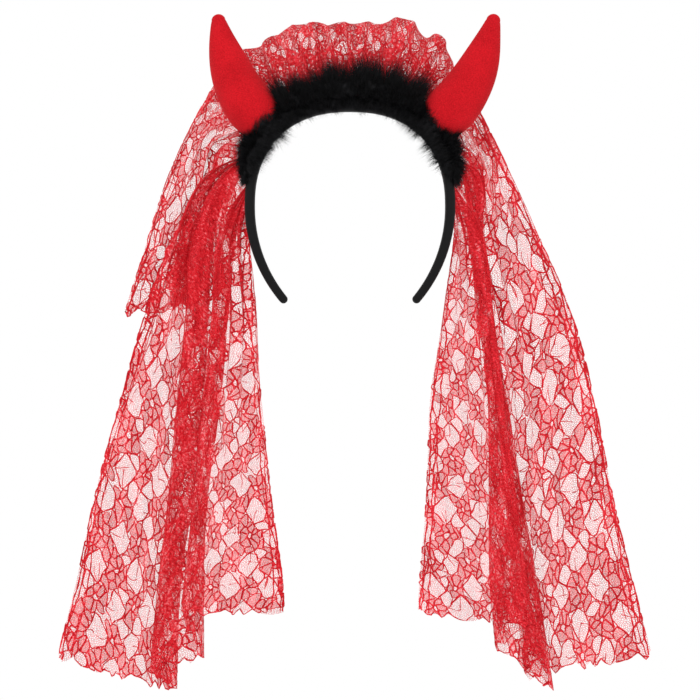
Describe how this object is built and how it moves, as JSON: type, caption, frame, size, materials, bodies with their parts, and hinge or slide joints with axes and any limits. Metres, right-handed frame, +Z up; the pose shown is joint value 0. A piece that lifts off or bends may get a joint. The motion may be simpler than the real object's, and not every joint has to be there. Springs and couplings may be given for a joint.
{
  "type": "devil horns headband with lace veil",
  "caption": "Costume headband with stuffed horns, a fluffy trim and a gathered lace veil that hangs in folds on both sides.",
  "frame": {"origin": "under face of the band at the middle of the crown, where it sits on the head", "axes": "+Z up, +X to the wearer's left as seen from the front on the right, +Y to the back, where the veil hangs"},
  "size_m": [0.4105, 0.0747, 0.4587],
  "materials": {
    "band_cover": "black satin cover, soft sheen",
    "fur": "black marabou-like down",
    "horn_plush": "red short-pile plush over stuffing",
    "lace": "red floral lace on fine net"
  },
  "bodies": {
    "root": {"head_band": "band_cover", "fur_trim": "fur", "horn_left": "horn_plush", "horn_right": "horn_plush", "veil_puff": "lace", "veil_drop_left": "lace", "veil_drop_right": "lace", "veil_short_layer": "lace"}
  },
  "joints": []
}
